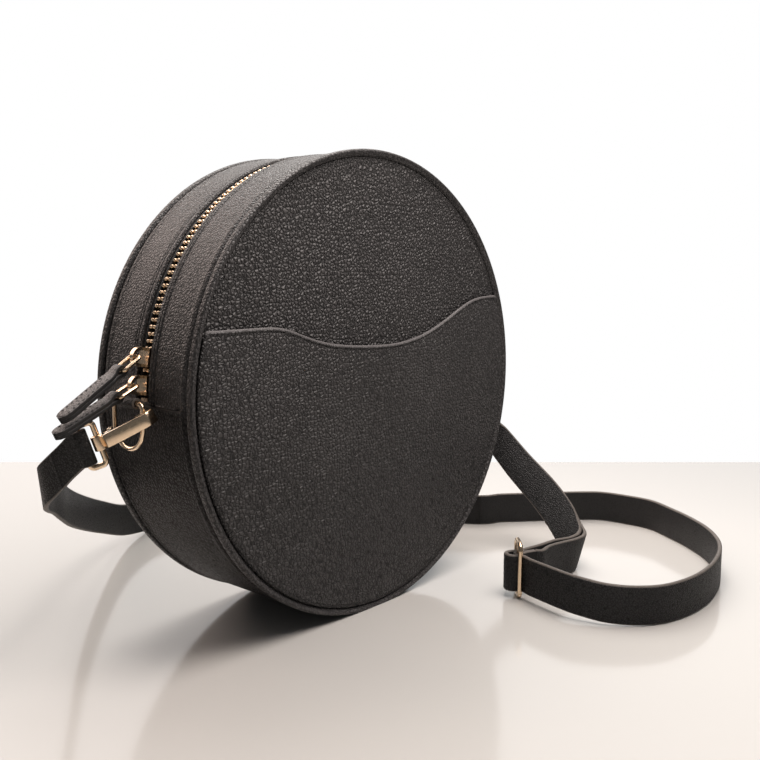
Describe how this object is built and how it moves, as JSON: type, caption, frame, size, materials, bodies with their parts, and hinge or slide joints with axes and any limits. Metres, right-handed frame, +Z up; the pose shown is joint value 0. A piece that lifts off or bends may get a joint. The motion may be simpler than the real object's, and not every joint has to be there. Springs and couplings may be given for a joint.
{
  "type": "round cross-body bag",
  "caption": "Round cross-body bag in black pebbled leather with a curved zip, front slip pocket, detachable adjustable strap and champagne-gold hardware.",
  "frame": {"origin": "centre of the flat that the bag stands on, on the table", "axes": "+Z up; the bag's axis runs along Y and its pocket side faces -Y; -X is the side of the zip pulls"},
  "size_m": [0.3632, 0.3206, 0.2191],
  "materials": {
    "bag_leather": "pebbled, satin",
    "strap_leather": "fine pebbled, satin",
    "pull_leather": "pebbled, painted edges",
    "gold_hardware": "polished champagne gold",
    "zip_tape": "woven",
    "lining": "twill",
    "board": "matte"
  },
  "bodies": {
    "bag": {"front_panel": "bag_leather", "front_board": "board", "front_lining": "lining", "front_rim": "bag_leather", "pocket_panel": "bag_leather", "pocket_lining": "lining", "back_panel": "bag_leather", "back_board": "board", "back_lining": "lining", "back_rim": "bag_leather", "base_gusset": "bag_leather", "base_board": "board", "base_lining": "lining", "zip_gusset_front": "bag_leather", "zip_gusset_back": "bag_leather", "zip_lining_front": "lining", "zip_lining_back": "lining", "zip_tape_front": "zip_tape", "zip_tape_back": "zip_tape", "zip_teeth_front": "gold_hardware", "zip_teeth_back": "gold_hardware", "zip_stops": "gold_hardware", "tab_left": "strap_leather", "tab_right": "strap_leather", "strap_drop": "strap_leather", "strap_behind": "strap_leather", "strap_front": "strap_leather", "riser_outer": "strap_leather", "riser_inner": "strap_leather"},
    "slider_lower": {"slider_lower": "gold_hardware", "bail_lower": "gold_hardware"},
    "link_lower": {"link_lower": "gold_hardware"},
    "pull_lower": {"pull_lower": "pull_leather"},
    "slider_upper": {"slider_upper": "gold_hardware", "bail_upper": "gold_hardware"},
    "link_upper": {"link_upper": "gold_hardware"},
    "pull_upper": {"pull_upper": "pull_leather"},
    "ring_left": {"d_ring_left": "gold_hardware"},
    "ring_right": {"d_ring_right": "gold_hardware"},
    "loop_left": {"strap_loop_left": "gold_hardware", "strap_end_left": "strap_leather"},
    "loop_right": {"strap_loop_right": "gold_hardware", "strap_end_right": "strap_leather"},
    "hook_left": {"hook_left": "gold_hardware", "gate_pin_left": "gold_hardware"},
    "hook_right": {"hook_right": "gold_hardware", "gate_pin_right": "gold_hardware"},
    "gate_left": {"gate_left": "gold_hardware"},
    "gate_right": {"gate_right": "gold_hardware"},
    "adjuster": {"adjuster_frame": "gold_hardware", "adjuster_bar": "gold_hardware", "strap_tail": "strap_leather"}
  },
  "joints": [
    {"name": "slider_lower_travel", "type": "hinge", "parent": "bag", "child": "slider_lower", "pos_m": [0, 0, 0.109], "axis": [0, -1, 0], "range_deg": [-20, 0]},
    {"name": "slider_upper_travel", "type": "hinge", "parent": "slider_lower", "child": "slider_upper", "pos_m": [0, 0, 0.109], "axis": [0, -1, 0], "range_deg": [-142, 0]},
    {"name": "link_lower_swing", "type": "hinge", "parent": "slider_lower", "child": "link_lower", "pos_m": [-0.11324, 0, 0.11731], "axis": [0, 1, 0], "range_deg": [0, 75]},
    {"name": "link_upper_swing", "type": "hinge", "parent": "slider_upper", "child": "link_upper", "pos_m": [-0.11176, 0, 0.1291], "axis": [0, 1, 0], "range_deg": [0, 90]},
    {"name": "pull_lower_fold", "type": "hinge", "parent": "link_lower", "child": "pull_lower", "pos_m": [-0.1219, 0, 0.11339], "axis": [0, 1, 0], "range_deg": [0, 30]},
    {"name": "pull_upper_fold", "type": "hinge", "parent": "link_upper", "child": "pull_upper", "pos_m": [-0.11977, 0, 0.124], "axis": [0, 1, 0], "range_deg": [0, 33]},
    {"name": "ring_left_swing", "type": "hinge", "parent": "bag", "child": "ring_left", "pos_m": [-0.1162, 0, 0.1106], "axis": [0, 1, 0], "range_deg": [-7.5, 1], "deforming": ["strap_drop"]},
    {"name": "loop_left_swing", "type": "hinge", "parent": "bag", "child": "loop_left", "pos_m": [-0.1162, 0, 0.1106], "axis": [0, 1, 0], "range_deg": [-7.5, 1], "deforming": ["strap_drop"]},
    {"name": "ring_right_swing", "type": "hinge", "parent": "bag", "child": "ring_right", "pos_m": [0.1162, 0, 0.11974], "axis": [0, -1, 0], "range_deg": [-3, 40], "deforming": ["riser_outer", "riser_inner"]},
    {"name": "loop_right_swing", "type": "hinge", "parent": "bag", "child": "loop_right", "pos_m": [0.1162, 0, 0.11974], "axis": [0, -1, 0], "range_deg": [-3, 40], "deforming": ["riser_outer", "riser_inner"]},
    {"name": "hook_left_turn", "type": "hinge", "parent": "loop_left", "child": "hook_left", "pos_m": [-0.13049, -0.00072, 0.09624], "axis": [-0.26, 0.1669, 0.9511], "range_deg": [-5, 3.5]},
    {"name": "hook_right_turn", "type": "hinge", "parent": "loop_right", "child": "hook_right", "pos_m": [0.11905, -0.00908, 0.08357], "axis": [0.4925, -0.8197, 0.2924], "range_deg": [-1, 1.3]},
    {"name": "gate_left_press", "type": "hinge", "parent": "hook_left", "child": "gate_left", "pos_m": [-0.12427, 0.00015, 0.09857], "axis": [0.3689, -0.2368, -0.8988], "range_deg": [0, 22], "stiffness_Nm_per_rad": 0.01, "springref_deg": -11.46},
    {"name": "gate_right_press", "type": "hinge", "parent": "hook_right", "child": "gate_right", "pos_m": [0.11473, -0.00986, 0.08863], "axis": [-0.4925, 0.8197, -0.2924], "range_deg": [0, 22], "stiffness_Nm_per_rad": 0.01, "springref_deg": -11.46},
    {"name": "adjuster_slide", "type": "slide", "parent": "bag", "child": "adjuster", "axis": [0.6587, -0.7524, 0], "range_m": [-0.0011, 0], "deforming": ["riser_inner"]}
  ],
  "couplings": [
    {"joint": "link_upper_swing", "follows": "link_lower_swing", "ratio": 1.2},
    {"joint": "pull_upper_fold", "follows": "pull_lower_fold", "ratio": 1.1},
    {"joint": "loop_left_swing", "follows": "ring_left_swing", "ratio": 1},
    {"joint": "loop_right_swing", "follows": "ring_right_swing", "ratio": 1}
  ]
}
